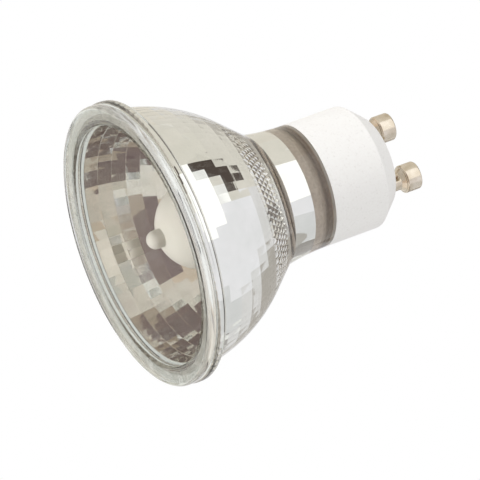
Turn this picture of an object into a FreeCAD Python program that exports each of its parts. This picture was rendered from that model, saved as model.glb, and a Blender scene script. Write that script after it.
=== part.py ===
import FreeCAD, Part
import Sketcher
import math
import os

# Frame: millimetres, lamp axis along Z, front face of the cover glass on Z = 0,
# contact pins pointing up and set apart along X.

X_AXIS = FreeCAD.Vector(1, 0, 0)
Y_AXIS = FreeCAD.Vector(0, 1, 0)
Z_AXIS = FreeCAD.Vector(0, 0, 1)
QUARTER_TURN = 90
FULL_TURN = 360
ORIGIN = -1
ACROSS_AXIS = -1
UP_AXIS = -2
START = 1
END = 2
CENTRE = 3
SIDES = (("right", ""), ("left", "-"))
TOUCH = 0.001

doc = FreeCAD.newDocument("spotlight_bulb")
sheet = doc.addObject("Spreadsheet::Sheet", "Sizes")

# Driving sizes, then sizes worked out from them.

DRIVERS = [
    ("rim_radius", "25.35"),
    ("cover_margin", "0.15"),
    ("cover_thick", "1.9"),
    ("cover_round", "0.7"),
    ("seal_thick", "0.15"),
    ("seal_inset", "0.5"),
    ("seal_width", "2.1"),
    ("flange_thick", "1.55"),
    ("flange_round", "0.45"),
    ("flange_step", "1.9"),
    ("bowl_length", "15.89"),
    ("bowl_bow", "17.3"),
    ("bowl_wall", "1.95"),
    ("shoulder_drop", "4.66"),
    ("facet_rows", "6"),
    ("facet_count", "80"),
    ("facet_ledge", "0.06"),
    ("facet_end_turn", "2.5"),
    ("mouth_gap", "0.15"),
    ("stipple_rows", "6"),
    ("stipple_depth", "0.2"),
    ("throat_step", "2.55"),
    ("neck_flare", "0.93"),
    ("neck_length", "8.7"),
    ("neck_bow", "43.0"),
    ("neck_wall", "1.55"),
    ("neck_cone", "2.2"),
    ("neck_cone_inset", "0.075"),
    ("spigot_length", "5.5"),
    ("spigot_wall", "1.7"),
    ("base_land", "0.7"),
    ("base_length", "13.9"),
    ("base_bevel_length", "3.35"),
    ("base_bevel_depth", "2.95"),
    ("base_round", "0.6"),
    ("base_end_wall", "3.0"),
    ("base_wall", "1.65"),
    ("cup_gap", "0.6"),
    ("cup_floor_gap", "0.6"),
    ("cavity_clear", "0.3"),
    ("pin_spacing", "10.0"),
    ("pin_shank_radius", "1.6"),
    ("pin_head_radius", "2.5"),
    ("pin_head_length", "3.0"),
    ("pin_neck_length", "3.4"),
    ("pin_under_cone", "0.7"),
    ("pin_head_edge", "0.35"),
    ("pin_bore_clear", "0.15"),
    ("pin_bore_end_wall", "2.2"),
    ("pin_rivet_lip", "0.7"),
    ("pin_rivet_thick", "0.6"),
    ("dimple_ball", "0.75"),
    ("dimple_depth", "0.35"),
    ("dimple_hole", "0.36"),
    ("dimple_hole_depth", "0.8"),
    ("dimple_below_head", "1.35"),
    ("tip_clear", "1.9"),
    ("tip_radius", "1.65"),
    ("tip_reach", "2.55"),
    ("bulb_radius", "7.8"),
    ("bulb_wall", "1.0"),
    ("bulb_shoulder", "2.6"),
    ("bulb_foot_radius", "4.2"),
    ("bulb_corner_inset", "0.5"),
    ("pinch_width", "11.2"),
    ("pinch_thick", "3.4"),
    ("pinch_length", "11.0"),
    ("pinch_in_base", "2.4"),
    ("pinch_overlap", "0.5"),
    ("pinch_edge", "0.5"),
    ("foil_width", "2.4"),
    ("foil_thick", "0.08"),
    ("foil_length", "6.0"),
    ("foil_inset", "2.6"),
    ("weld_gap", "0.02"),
    ("lead_spacing", "5.8"),
    ("lead_radius", "0.3"),
    ("lead_overlap", "1.2"),
    ("lead_inset", "2.3"),
    ("lead_bend_start", "2.2"),
    ("lead_straight", "2.1"),
    ("lead_in_pin", "2.6"),
    ("coil_radius", "0.5"),
    ("coil_wire", "0.13"),
    ("coil_pitch", "1.0"),
    ("coil_turns", "7"),
    ("coil_tail", "1.6"),
    ("coil_clear", "0.25"),
    ("support_spacing", "2.6"),
    ("support_wire", "0.12"),
    ("support_clear", "0.04"),
    ("bead_radius", "0.8"),
    ("bead_overhang", "1.1"),
    ("bead_clear", "0.2"),
    ("stub_length", "2.6"),
    ("fuse_wire", "0.14"),
    ("fuse_overlap", "1.2"),
    ("cement_front_gap", "3.8"),
    ("cement_back_gap", "1.0"),
]

DERIVED = [
    ("seat_z", "=cover_thick + seal_thick"),
    ("flange_back", "=seat_z + flange_thick"),
    ("cover_radius", "=rim_radius - cover_margin"),
    ("cover_flat_radius", "=cover_radius - cover_round"),
    ("cover_back_edge", "=cover_thick - cover_round"),
    ("seal_outer", "=cover_radius - seal_inset"),
    ("seal_inner", "=seal_outer - seal_width"),
    ("flange_front_edge", "=seat_z + flange_round"),
    ("flange_corner_z", "=flange_back - flange_round"),
    ("flange_shoulder_radius", "=rim_radius - flange_round"),
    ("pin_x", "=pin_spacing / 2"),
    ("base_end_radius", "=pin_x + pin_head_radius + base_land"),
    ("base_radius", "=base_end_radius + base_bevel_depth"),
    ("cup_radius", "=base_radius - base_wall"),
    ("spigot_radius", "=cup_radius - cup_gap"),
    ("spigot_bore", "=spigot_radius - spigot_wall"),
    ("neck_bore", "=base_radius - neck_wall"),
    ("neck_start_radius", "=base_radius + neck_flare"),
    ("outer_start_radius", "=rim_radius - flange_step"),
    ("outer_end_radius", "=neck_start_radius + shoulder_drop"),
    ("outer_end_z", "=flange_back + bowl_length"),
    ("bowl_narrowing", "=outer_start_radius - outer_end_radius"),
    ("bowl_tilt", "=atan(bowl_narrowing / bowl_length)"),
    ("bowl_start_angle", "=bowl_tilt - bowl_bow * 1 deg"),
    ("bowl_end_angle", "=bowl_tilt + bowl_bow * 1 deg"),
    ("bowl_chord", "=sqrt(bowl_length ^ 2 + bowl_narrowing ^ 2)"),
    ("bowl_radius", "=bowl_chord / 2 / sin(bowl_bow * 1 deg)"),
    ("bowl_centre", "=flange_back - bowl_radius * sin(bowl_start_angle)"),
    ("bowl_drop", "=bowl_radius * cos(bowl_start_angle) - outer_start_radius"),
    ("inner_radius", "=bowl_radius - bowl_wall"),
    ("neck_start_z", "=outer_end_z + shoulder_drop / tan(bowl_end_angle)"),
    ("neck_end_z", "=neck_start_z + neck_length"),
    ("facet_start_z", "=flange_back"),
    ("facet_first_angle", "=asin((facet_start_z - bowl_centre) / inner_radius)"),
    ("facet_start_radius", "=inner_radius * cos(facet_first_angle) - bowl_drop"),
    ("mouth_radius", "=facet_start_radius + mouth_gap"),
    ("facet_last_angle", "=bowl_end_angle - facet_end_turn * 1 deg"),
    ("facet_end_z", "=bowl_centre + inner_radius * sin(facet_last_angle)"),
    ("facet_end_radius", "=inner_radius * cos(facet_last_angle) - bowl_drop"),
    ("stipple_end_radius", "=neck_bore + throat_step"),
    ("stipple_length", "=(facet_end_radius - stipple_end_radius) / tan(bowl_end_angle)"),
    ("stipple_pitch", "=stipple_length / stipple_rows"),
    ("stipple_end_z", "=facet_end_z + stipple_length"),
    ("throat_radius", "=stipple_end_radius - facet_ledge"),
    ("throat_end_z", "=stipple_end_z + (throat_radius - neck_bore) / tan(bowl_end_angle)"),
    ("spigot_end_z", "=neck_end_z + spigot_length"),
    ("cone_end_z", "=neck_end_z - neck_cone_inset"),
    ("cone_start_z", "=cone_end_z - neck_cone"),
    ("base_end_z", "=neck_end_z + base_length"),
    ("base_bevel_z", "=base_end_z - base_bevel_length"),
    ("base_inner_z", "=base_end_z - base_end_wall"),
    ("cup_floor_z", "=spigot_end_z + cup_floor_gap"),
    ("pin_head_z", "=base_end_z + pin_neck_length"),
    ("pin_end_z", "=pin_head_z + pin_head_length"),
    ("pin_cone_z", "=pin_head_z - pin_under_cone"),
    ("pin_tip_radius", "=pin_head_radius - pin_head_edge"),
    ("pin_head_low_z", "=pin_head_z + pin_head_edge"),
    ("pin_head_high_z", "=pin_end_z - pin_head_edge"),
    ("pin_rivet_radius", "=pin_shank_radius + pin_rivet_lip"),
    ("pin_rivet_z", "=base_inner_z - pin_rivet_thick"),
    ("pin_bore", "=lead_radius + pin_bore_clear"),
    ("pin_bore_z", "=pin_end_z - pin_bore_end_wall"),
    ("cavity_radius", "=pin_x + pin_rivet_radius + cavity_clear"),
    ("dimple_z", "=pin_head_z - dimple_below_head"),
    ("dimple_ball_y", "=pin_shank_radius + dimple_ball - dimple_depth"),
    ("dimple_hole_y", "=pin_shank_radius - dimple_hole_depth"),
    ("pinch_end_z", "=neck_end_z + pinch_in_base"),
    ("pinch_start_z", "=pinch_end_z - pinch_length"),
    ("pinch_half_width", "=pinch_width / 2"),
    ("pinch_half_thick", "=pinch_thick / 2"),
    ("bulb_foot_z", "=pinch_start_z + pinch_overlap"),
    ("bulb_end_z", "=bulb_foot_z - bulb_shoulder"),
    ("tip_end_z", "=seat_z + tip_clear"),
    ("tip_round_z", "=tip_end_z + tip_radius"),
    ("bulb_centre", "=tip_end_z + tip_reach + bulb_radius"),
    ("tip_root_z", "=bulb_centre - sqrt(bulb_radius ^ 2 - tip_radius ^ 2)"),
    ("bulb_inner_radius", "=bulb_radius - bulb_wall"),
    ("bulb_inner_apex_z", "=bulb_centre - bulb_inner_radius"),
    ("bulb_inner_end_z", "=bulb_end_z - bulb_corner_inset"),
    ("bulb_inner_foot_z", "=bulb_foot_z - bulb_wall"),
    ("bulb_inner_foot_radius", "=bulb_foot_radius - bulb_corner_inset"),
    ("lead_x", "=lead_spacing / 2"),
    ("foil_x", "=lead_x - foil_width / 2"),
    ("foil_y", "=lead_radius + weld_gap"),
    ("foil_z", "=pinch_start_z + foil_inset"),
    ("foil_end_z", "=foil_z + foil_length"),
    ("inner_lead_top", "=bulb_end_z - lead_inset"),
    ("inner_lead_end_z", "=foil_z + lead_overlap"),
    ("outer_lead_z", "=foil_end_z - lead_overlap"),
    ("lead_bend_z", "=pinch_end_z + lead_bend_start"),
    ("lead_rise_z", "=pin_rivet_z - lead_straight"),
    ("lead_end_z", "=base_end_z + lead_in_pin"),
    ("stub_end_z", "=pinch_end_z + stub_length"),
    ("fuse_x", "=lead_x + lead_radius + fuse_wire + weld_gap"),
    ("fuse_z", "=stub_end_z - fuse_overlap"),
    ("coil_inner_x", "=lead_x - lead_radius - coil_wire - weld_gap"),
    ("coil_x", "=coil_inner_x + coil_radius"),
    ("coil_end_z", "=inner_lead_top - coil_clear - coil_wire"),
    ("coil_top_z", "=coil_end_z - coil_pitch * coil_turns"),
    ("coil_bridge", "=2 * coil_inner_x"),
    ("support_x", "=support_spacing / 2"),
    ("hook_radius", "=coil_wire + support_wire + support_clear"),
    ("hook_top_z", "=coil_top_z - hook_radius"),
    ("bead_z", "=coil_end_z + coil_tail + bead_clear + bead_radius"),
    ("bead_end", "=lead_x + bead_overhang"),
    ("cement_front_z", "=neck_end_z - cement_front_gap"),
    ("cement_back_z", "=spigot_end_z - cement_back_gap"),
]

for row, (name, text) in enumerate(DRIVERS + DERIVED, start=1):
    sheet.set("A%d" % row, name)
    sheet.set("B%d" % row, text)
    sheet.setAlias("B%d" % row, name)
doc.recompute()


def size(name):
    value = sheet.get(name)
    return float(getattr(value, "Value", value))


def bound(name):
    if name.startswith("-"):
        return "-Sizes.%s" % name[1:]
    return "Sizes.%s" % name


def coordinate(name):
    if not name:
        return 0.0
    if name.startswith("-"):
        return -size(name[1:])
    return size(name)


# Bodies, outlines fixed by named sizes, and turned or swept features.


def new_body(label):
    body = doc.addObject("PartDesign::Body", label)
    body.Label = label
    return body


def new_sketch(body, role, label, height=None):
    sketch = body.newObject("Sketcher::SketchObject", label)
    for plane in body.Origin.OriginFeatures:
        if plane.Role == role:
            sketch.AttachmentSupport = (plane, [""])
    sketch.MapMode = "FlatFace"
    if height:
        sketch.setExpression("AttachmentOffset.Base.z", bound(height))
    return sketch


def fix_point(sketch, piece, end, corner):
    kinds = ("DistanceX", "DistanceY")
    axes = (UP_AXIS, ACROSS_AXIS)
    for kind, axis, name in zip(kinds, axes, corner):
        if not name:
            sketch.addConstraint(Sketcher.Constraint("PointOnObject", piece, end, axis))
            continue
        plain = name.lstrip("-")
        if name.startswith("-"):
            limit = Sketcher.Constraint(kind, piece, end, ORIGIN, START, size(plain))
        else:
            limit = Sketcher.Constraint(kind, ORIGIN, START, piece, end, size(plain))
        index = sketch.addConstraint(limit)
        sketch.setExpression("Constraints[%d]" % index, "Sizes.%s" % plain)


def fix_radius(sketch, piece, name):
    index = sketch.addConstraint(Sketcher.Constraint("Radius", piece, size(name)))
    sketch.setExpression("Constraints[%d]" % index, "Sizes.%s" % name)


def arc_between(first, last, radius, left):
    # Circle arc of a given radius; left tells the side its centre lies on.
    chord = last - first
    reach = math.sqrt(max(radius ** 2 - (chord.Length / 2) ** 2, 0.0))
    side = FreeCAD.Vector(-chord.y, chord.x, 0).normalize()
    centre = (first + last) * 0.5 + side * (reach if left else -reach)
    circle = Part.Circle(centre, Z_AXIS, radius)
    ends = (first, last) if left else (last, first)
    return Part.ArcOfCircle(circle, circle.parameter(ends[0]), circle.parameter(ends[1]))


def draw(sketch, corners, arcs=None, closed=True):
    # corners are pairs of size names; arcs maps a side's number to its radius and turn.
    arcs = arcs or {}
    points = [FreeCAD.Vector(coordinate(a), coordinate(b), 0) for a, b in corners]
    count = len(points) if closed else len(points) - 1
    handles = []
    for side in range(count):
        first = points[side]
        last = points[(side + 1) % len(points)]
        if side in arcs:
            radius, left = arcs[side]
            piece = sketch.addGeometry(arc_between(first, last, size(radius), left), False)
            handles.append((piece, START if left else END, END if left else START))
        else:
            piece = sketch.addGeometry(Part.LineSegment(first, last), False)
            handles.append((piece, START, END))
    for side in range(count if closed else count - 1):
        piece, _, end = handles[side]
        other, start, _ = handles[(side + 1) % count]
        sketch.addConstraint(Sketcher.Constraint("Coincident", piece, end, other, start))
    for side, (piece, start, end) in enumerate(handles):
        fix_point(sketch, piece, start, corners[side])
    if not closed:
        fix_point(sketch, handles[-1][0], handles[-1][2], corners[-1])
    for side, (radius, _) in arcs.items():
        fix_radius(sketch, handles[side][0], radius)


def draw_circle(sketch, corner, radius):
    centre = FreeCAD.Vector(coordinate(corner[0]), coordinate(corner[1]), 0)
    piece = sketch.addGeometry(Part.Circle(centre, Z_AXIS, size(radius)), False)
    fix_point(sketch, piece, CENTRE, corner)
    fix_radius(sketch, piece, radius)


def turned(label, corners, arcs=None):
    body = new_body(label)
    sketch = new_sketch(body, "XZ_Plane", label + "_outline")
    draw(sketch, corners, arcs)
    turn = body.newObject("PartDesign::Revolution", label + "_turn")
    turn.Profile = sketch
    turn.ReferenceAxis = (sketch, ["V_Axis"])
    turn.Angle = FULL_TURN
    body.Tip = turn
    doc.recompute()
    return body, turn


def round_rings(body, feature, label, rings, radius):
    # rings are pairs of size names: a circular edge's radius and its height.
    names = []
    for number, edge in enumerate(feature.Shape.Edges, start=1):
        curve = edge.Curve
        if not isinstance(curve, Part.Circle):
            continue
        for wide, high in rings:
            near = abs(curve.Radius - size(wide)) < TOUCH
            if near and abs(curve.Center.z - size(high)) < TOUCH:
                names.append("Edge%d" % number)
    fillet = body.newObject("PartDesign::Fillet", label)
    fillet.Base = (feature, names)
    fillet.setExpression("Radius", bound(radius))
    body.Tip = fillet
    doc.recompute()
    return fillet


def swept(label, corners, radius, height):
    body = new_body(label)
    path = new_sketch(body, "XZ_Plane", label + "_path")
    draw(path, corners, closed=False)
    section = new_sketch(body, "XY_Plane", label + "_section", height)
    draw_circle(section, (corners[0][0], None), radius)
    pipe = body.newObject("PartDesign::AdditivePipe", label + "_wire")
    pipe.Profile = section
    pipe.Spine = (path, [])
    pipe.Transition = "Round corner"
    body.Tip = pipe
    doc.recompute()
    return body


def rod(label, radius, start, length, x=None, y=None, axis=Z_AXIS, turn=0):
    cylinder = doc.addObject("Part::Cylinder", label)
    cylinder.Label = label
    cylinder.Placement = FreeCAD.Placement(FreeCAD.Vector(), FreeCAD.Rotation(axis, turn))
    cylinder.setExpression("Radius", bound(radius))
    cylinder.setExpression("Height", length)
    cylinder.setExpression("Placement.Base.z", start)
    if x:
        cylinder.setExpression("Placement.Base.x", x)
    if y:
        cylinder.setExpression("Placement.Base.y", y)
    return cylinder


def joined(label, shapes):
    union = doc.addObject("Part::MultiFuse", label)
    union.Label = label
    union.Shapes = shapes
    return union


def cut(label, base, tool):
    result = doc.addObject("Part::Cut", label)
    result.Label = label
    result.Base = base
    result.Tool = tool
    return result


nodes = []

# Cover glass: flat pressed disc, both edges fully rounded.

cover, _ = turned(
    "cover_glass",
    [
        (None, None),
        ("cover_flat_radius", None),
        ("cover_radius", "cover_round"),
        ("cover_radius", "cover_back_edge"),
        ("cover_flat_radius", "cover_thick"),
        (None, "cover_thick"),
    ],
    {1: ("cover_round", True), 3: ("cover_round", True)},
)
nodes.append(cover)

# Cover seal: thin ring of cement between the disc and the flange.

seal, _ = turned(
    "cover_seal",
    [
        ("seal_inner", "cover_thick"),
        ("seal_outer", "cover_thick"),
        ("seal_outer", "seat_z"),
        ("seal_inner", "seat_z"),
    ],
)
nodes.append(seal)

# Reflector: pressed glass turned outside, then hollowed by the many-sided form.

blank, _ = turned(
    "reflector_blank",
    [
        ("mouth_radius", "seat_z"),
        ("flange_shoulder_radius", "seat_z"),
        ("rim_radius", "flange_front_edge"),
        ("rim_radius", "flange_corner_z"),
        ("flange_shoulder_radius", "flange_back"),
        ("outer_start_radius", "flange_back"),
        ("outer_end_radius", "outer_end_z"),
        ("neck_start_radius", "neck_start_z"),
        ("base_radius", "neck_end_z"),
        ("spigot_radius", "neck_end_z"),
        ("spigot_radius", "spigot_end_z"),
        ("spigot_bore", "spigot_end_z"),
        ("spigot_bore", "cone_end_z"),
        ("neck_bore", "cone_start_z"),
        ("neck_bore", "throat_end_z"),
        ("throat_radius", "stipple_end_z"),
        ("neck_bore", "stipple_end_z"),
        ("neck_bore", "facet_start_z"),
        ("mouth_radius", "facet_start_z"),
    ],
    {
        1: ("flange_round", True),
        3: ("flange_round", True),
        5: ("bowl_radius", True),
        7: ("neck_bow", False),
    },
)


def ring_points(radius, z, turn, count):
    points = []
    for number in range(count):
        angle = 2 * math.pi * (number + turn) / count
        points.append(FreeCAD.Vector(radius * math.cos(angle), radius * math.sin(angle), z))
    return points


def flat_face(*loops):
    # A second loop is a hole in the first.
    wires = [Part.makePolygon(list(loop) + [loop[0]]) for loop in loops]
    return Part.makeFace(wires, "Part::FaceMakerBullseye")


def facet_band(front, back):
    faces = []
    count = len(front)
    for number in range(count):
        after = (number + 1) % count
        faces.append(flat_face([front[number], front[after], back[after], back[number]]))
    return faces


def pushed_out(first, last, depth):
    middle = (first + last) * 0.5
    outward = FreeCAD.Vector(middle.x, middle.y, 0).normalize()
    return middle + outward * depth


def stipple_row(base, apexes, depth, edge_row):
    # Small pyramids: each base side is bent out at its middle, unless it lies on an end row.
    faces = []
    count = len(base)
    for number in range(count):
        first = base[number]
        last = base[(number + 1) % count]
        apex = apexes[number]
        if edge_row:
            faces.append(flat_face([first, last, apex]))
            continue
        middle = pushed_out(first, last, depth)
        faces.append(flat_face([first, middle, apex]))
        faces.append(flat_face([middle, last, apex]))
    return faces


def many_sided_form():
    count = int(size("facet_count"))
    rows = int(size("facet_rows"))
    lift = size("facet_ledge")
    radius = size("inner_radius")
    first = size("facet_first_angle")
    step = (size("facet_last_angle") - first) / rows

    def bowl(row, extra):
        angle = math.radians(first + row * step)
        z = size("bowl_centre") + radius * math.sin(angle)
        return radius * math.cos(angle) - size("bowl_drop") + extra, z

    faces = []
    front = ring_points(*bowl(0, 0.0), 0.0, count)
    faces.append(flat_face(front))
    for row in range(rows):
        back = ring_points(*bowl(row + 1, lift), 0.0, count)
        faces += facet_band(front, back)
        front = ring_points(*bowl(row + 1, 0.0), 0.0, count)
        faces.append(flat_face(back, front))

    depth = size("stipple_depth")
    pitch = size("stipple_pitch")
    last_row = int(size("stipple_rows"))
    slope = math.tan(math.radians(size("bowl_end_angle")))
    wide, high = bowl(rows, 0.0)

    def row_points(row):
        turn = 0.5 * (row % 2)
        return ring_points(wide - slope * pitch * row, high + pitch * row, turn, count)

    for row in range(last_row):
        near = row_points(row)
        far = row_points(row + 1)
        shift = row % 2
        up = [far[(number + shift) % count] for number in range(count)]
        down = [near[(number + 1 - shift) % count] for number in range(count)]
        faces += stipple_row(near, up, depth, row == 0)
        faces += stipple_row(far, down, depth, row + 1 == last_row)
    faces.append(flat_face(row_points(last_row)))
    shell = Part.makeShell(faces)
    shell.sewShape()
    solid = Part.makeSolid(shell)
    if solid.Volume < 0:
        solid.reverse()
    return solid


mirror_form = doc.addObject("Part::Feature", "mirror_form")
mirror_form.Label = "mirror_form"
mirror_form.Shape = many_sided_form()
reflector = cut("reflector", blank, mirror_form)
nodes.append(reflector)

# Leads, foils and fuse: wires in the plane of the two pins.

foils = []
inner_leads = []
for side, sign in SIDES:
    foil = doc.addObject("Part::Box", "foil_" + side)
    foil.Label = "foil_" + side
    foil.setExpression("Length", "Sizes.foil_width")
    foil.setExpression("Width", "Sizes.foil_thick")
    foil.setExpression("Height", "Sizes.foil_length")
    away = "Sizes.foil_x" if sign == "" else "-Sizes.foil_x - Sizes.foil_width"
    foil.setExpression("Placement.Base.x", away)
    foil.setExpression("Placement.Base.y", "Sizes.foil_y")
    foil.setExpression("Placement.Base.z", "Sizes.foil_z")
    foils.append(foil)
    lead = rod(
        "inner_lead_" + side,
        "lead_radius",
        "Sizes.inner_lead_top",
        "Sizes.inner_lead_end_z - Sizes.inner_lead_top",
        x=sign + "Sizes.lead_x",
    )
    inner_leads.append(lead)

outer_right = swept(
    "outer_lead_right",
    [
        ("lead_x", "outer_lead_z"),
        ("lead_x", "lead_bend_z"),
        ("pin_x", "lead_rise_z"),
        ("pin_x", "lead_end_z"),
    ],
    "lead_radius",
    "outer_lead_z",
)
outer_left = rod(
    "outer_lead_left",
    "lead_radius",
    "Sizes.outer_lead_z",
    "Sizes.stub_end_z - Sizes.outer_lead_z",
    x="-Sizes.lead_x",
)
fuse = swept(
    "fuse_wire",
    [
        ("-fuse_x", "fuse_z"),
        ("-fuse_x", "stub_end_z"),
        ("-pin_x", "lead_rise_z"),
        ("-pin_x", "lead_end_z"),
    ],
    "fuse_wire",
    "fuse_z",
)
nodes += foils + inner_leads + [outer_right, outer_left, fuse]

# Capsule: sealed quartz bulb with an exhaust tip, closed by a flat pinch.

envelope, _ = turned(
    "envelope_blank",
    [
        (None, "tip_end_z"),
        ("tip_radius", "tip_round_z"),
        ("tip_radius", "tip_root_z"),
        ("bulb_radius", "bulb_centre"),
        ("bulb_radius", "bulb_end_z"),
        ("bulb_foot_radius", "bulb_foot_z"),
        (None, "bulb_foot_z"),
        (None, "bulb_inner_foot_z"),
        ("bulb_inner_foot_radius", "bulb_inner_foot_z"),
        ("bulb_inner_radius", "bulb_inner_end_z"),
        ("bulb_inner_radius", "bulb_centre"),
        (None, "bulb_inner_apex_z"),
    ],
    {
        0: ("tip_radius", True),
        2: ("bulb_radius", True),
        10: ("bulb_inner_radius", False),
    },
)
pinch_sketch = new_sketch(envelope, "XY_Plane", "pinch_outline", "pinch_start_z")
draw(
    pinch_sketch,
    [
        ("-pinch_half_width", "-pinch_half_thick"),
        ("pinch_half_width", "-pinch_half_thick"),
        ("pinch_half_width", "pinch_half_thick"),
        ("-pinch_half_width", "pinch_half_thick"),
    ],
)
pinch = envelope.newObject("PartDesign::Pad", "pinch")
pinch.Profile = pinch_sketch
pinch.setExpression("Length", "Sizes.pinch_length")
envelope.Tip = pinch
doc.recompute()
pinch_edges = []
for number, edge in enumerate(pinch.Shape.Edges, start=1):
    ends = [vertex.Point for vertex in edge.Vertexes]
    if len(ends) < 2 or abs(ends[0].z - ends[1].z) < size("pinch_edge"):
        continue
    corner = all(abs(abs(p.x) - size("pinch_half_width")) < TOUCH for p in ends)
    if corner and all(abs(abs(p.y) - size("pinch_half_thick")) < TOUCH for p in ends):
        pinch_edges.append("Edge%d" % number)
pinch_round = envelope.newObject("PartDesign::Fillet", "pinch_round")
pinch_round.Base = (pinch, pinch_edges)
pinch_round.setExpression("Radius", "Sizes.pinch_edge")
envelope.Tip = pinch_round
doc.recompute()

sealed_wires = joined("sealed_wires", foils + inner_leads + [outer_right, outer_left])
capsule = cut("capsule_envelope", envelope, sealed_wires)
nodes.append(capsule)

# Filament: two upright coils and the straight wire between them, hung on two hooks.

filament = new_body("filament")
for side, sign in SIDES:
    section = new_sketch(filament, "XZ_Plane", "coil_section_" + side)
    draw_circle(section, (sign + "coil_inner_x", "coil_top_z"), "coil_wire")
    low = FreeCAD.Vector(coordinate(sign + "coil_x"), coordinate("coil_top_z"), 0)
    high = FreeCAD.Vector(coordinate(sign + "coil_x"), coordinate("coil_end_z"), 0)
    line = section.addGeometry(Part.LineSegment(low, high), True)
    fix_point(section, line, START, (sign + "coil_x", "coil_top_z"))
    fix_point(section, line, END, (sign + "coil_x", "coil_end_z"))
    coil = filament.newObject("PartDesign::AdditiveHelix", "coil_" + side)
    coil.Profile = section
    coil.ReferenceAxis = (section, ["Axis0"])
    coil.Mode = "pitch-turns-angle"
    coil.setExpression("Pitch", "Sizes.coil_pitch")
    coil.setExpression("Turns", "Sizes.coil_turns")
    filament.Tip = coil
    doc.recompute()
bridge_sketch = new_sketch(filament, "YZ_Plane", "bridge_section")
draw_circle(bridge_sketch, (None, "coil_top_z"), "coil_wire")
bridge = filament.newObject("PartDesign::Pad", "bridge")
bridge.Profile = bridge_sketch
bridge.Midplane = True
bridge.setExpression("Length", "Sizes.coil_bridge")
filament.Tip = bridge
doc.recompute()
for side, sign in SIDES:
    tail_sketch = new_sketch(filament, "XY_Plane", "tail_section_" + side, "coil_end_z")
    draw_circle(tail_sketch, (sign + "coil_inner_x", None), "coil_wire")
    tail = filament.newObject("PartDesign::Pad", "tail_" + side)
    tail.Profile = tail_sketch
    tail.setExpression("Length", "Sizes.coil_tail")
    filament.Tip = tail
    doc.recompute()
nodes.append(filament)

# Supports: hooked wires rooted in the quartz bead that bridges the inner leads.

supports = []
for side, sign in SIDES:
    label = "support_" + side
    body = new_body(label)
    path = new_sketch(body, "YZ_Plane", label + "_path")
    draw(
        path,
        [
            ("hook_radius", "bead_z"),
            ("hook_radius", "coil_top_z"),
            (None, "hook_top_z"),
            ("-hook_radius", "coil_top_z"),
        ],
        {1: ("hook_radius", False), 2: ("hook_radius", False)},
        closed=False,
    )
    section = new_sketch(body, "XY_Plane", label + "_section", "bead_z")
    draw_circle(section, (None, "hook_radius"), "support_wire")
    pipe = body.newObject("PartDesign::AdditivePipe", label + "_wire")
    pipe.Profile = section
    pipe.Spine = (path, [])
    body.Tip = pipe
    body.setExpression("Placement.Base.x", sign + "Sizes.support_x")
    supports.append(body)
doc.recompute()
nodes += supports

bead = rod(
    "bead_blank",
    "bead_radius",
    "Sizes.bead_z",
    "2 * Sizes.bead_end",
    x="-Sizes.bead_end",
    axis=Y_AXIS,
    turn=QUARTER_TURN,
)
bead_wires = joined("bead_wires", inner_leads + supports)
nodes.append(cut("bridge_bead", bead, bead_wires))

# Ceramic base: turned cup with a bevelled end and two pin holes.

base, base_turn = turned(
    "ceramic_base",
    [
        ("cup_radius", "neck_end_z"),
        ("base_radius", "neck_end_z"),
        ("base_radius", "base_bevel_z"),
        ("base_end_radius", "base_end_z"),
        (None, "base_end_z"),
        (None, "base_inner_z"),
        ("cavity_radius", "base_inner_z"),
        ("cavity_radius", "cup_floor_z"),
        ("cup_radius", "cup_floor_z"),
    ],
)
bevel_rings = [("base_radius", "base_bevel_z"), ("base_end_radius", "base_end_z")]
round_rings(base, base_turn, "bevel_round", bevel_rings, "base_round")
hole_sketch = new_sketch(base, "XY_Plane", "pin_holes_outline")
for side, sign in SIDES:
    draw_circle(hole_sketch, (sign + "pin_x", None), "pin_shank_radius")
holes = base.newObject("PartDesign::Pocket", "pin_holes")
holes.Profile = hole_sketch
holes.Type = "ThroughAll"
holes.Midplane = True
base.Tip = holes
doc.recompute()
nodes.append(base)

# Contact pins: turned, riveted inside, drilled for the lead and crimped on both sides.

for side, sign in SIDES:
    label = "pin_" + side
    blank_pin, _ = turned(
        label + "_blank",
        [
            ("pin_bore", "pin_rivet_z"),
            ("pin_rivet_radius", "pin_rivet_z"),
            ("pin_rivet_radius", "base_inner_z"),
            ("pin_shank_radius", "base_inner_z"),
            ("pin_shank_radius", "pin_cone_z"),
            ("pin_tip_radius", "pin_head_z"),
            ("pin_head_radius", "pin_head_low_z"),
            ("pin_head_radius", "pin_head_high_z"),
            ("pin_tip_radius", "pin_end_z"),
            (None, "pin_end_z"),
            (None, "pin_bore_z"),
            ("pin_bore", "pin_bore_z"),
        ],
        {5: ("pin_head_edge", True), 7: ("pin_head_edge", True)},
    )
    blank_pin.setExpression("Placement.Base.x", sign + "Sizes.pin_x")
    marks = []
    for face, way, turn in (("front", "-", QUARTER_TURN), ("back", "", -QUARTER_TURN)):
        ball = doc.addObject("Part::Sphere", label + "_dimple_" + face)
        ball.setExpression("Radius", "Sizes.dimple_ball")
        ball.setExpression("Placement.Base.x", sign + "Sizes.pin_x")
        ball.setExpression("Placement.Base.y", way + "Sizes.dimple_ball_y")
        ball.setExpression("Placement.Base.z", "Sizes.dimple_z")
        marks.append(ball)
        hole = rod(
            label + "_mark_" + face,
            "dimple_hole",
            "Sizes.dimple_z",
            "Sizes.dimple_ball",
            x=sign + "Sizes.pin_x",
            y=way + "Sizes.dimple_hole_y",
            axis=X_AXIS,
            turn=turn,
        )
        marks.append(hole)
    crimps = joined(label + "_crimps", marks)
    nodes.append(cut(label, blank_pin, crimps))

# Cement: a ring that holds the base on the spigot, and a fill that holds the capsule.

neck_cement, _ = turned(
    "neck_cement",
    [
        ("spigot_radius", "neck_end_z"),
        ("cup_radius", "neck_end_z"),
        ("cup_radius", "spigot_end_z"),
        ("spigot_radius", "spigot_end_z"),
    ],
)
nodes.append(neck_cement)

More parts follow.
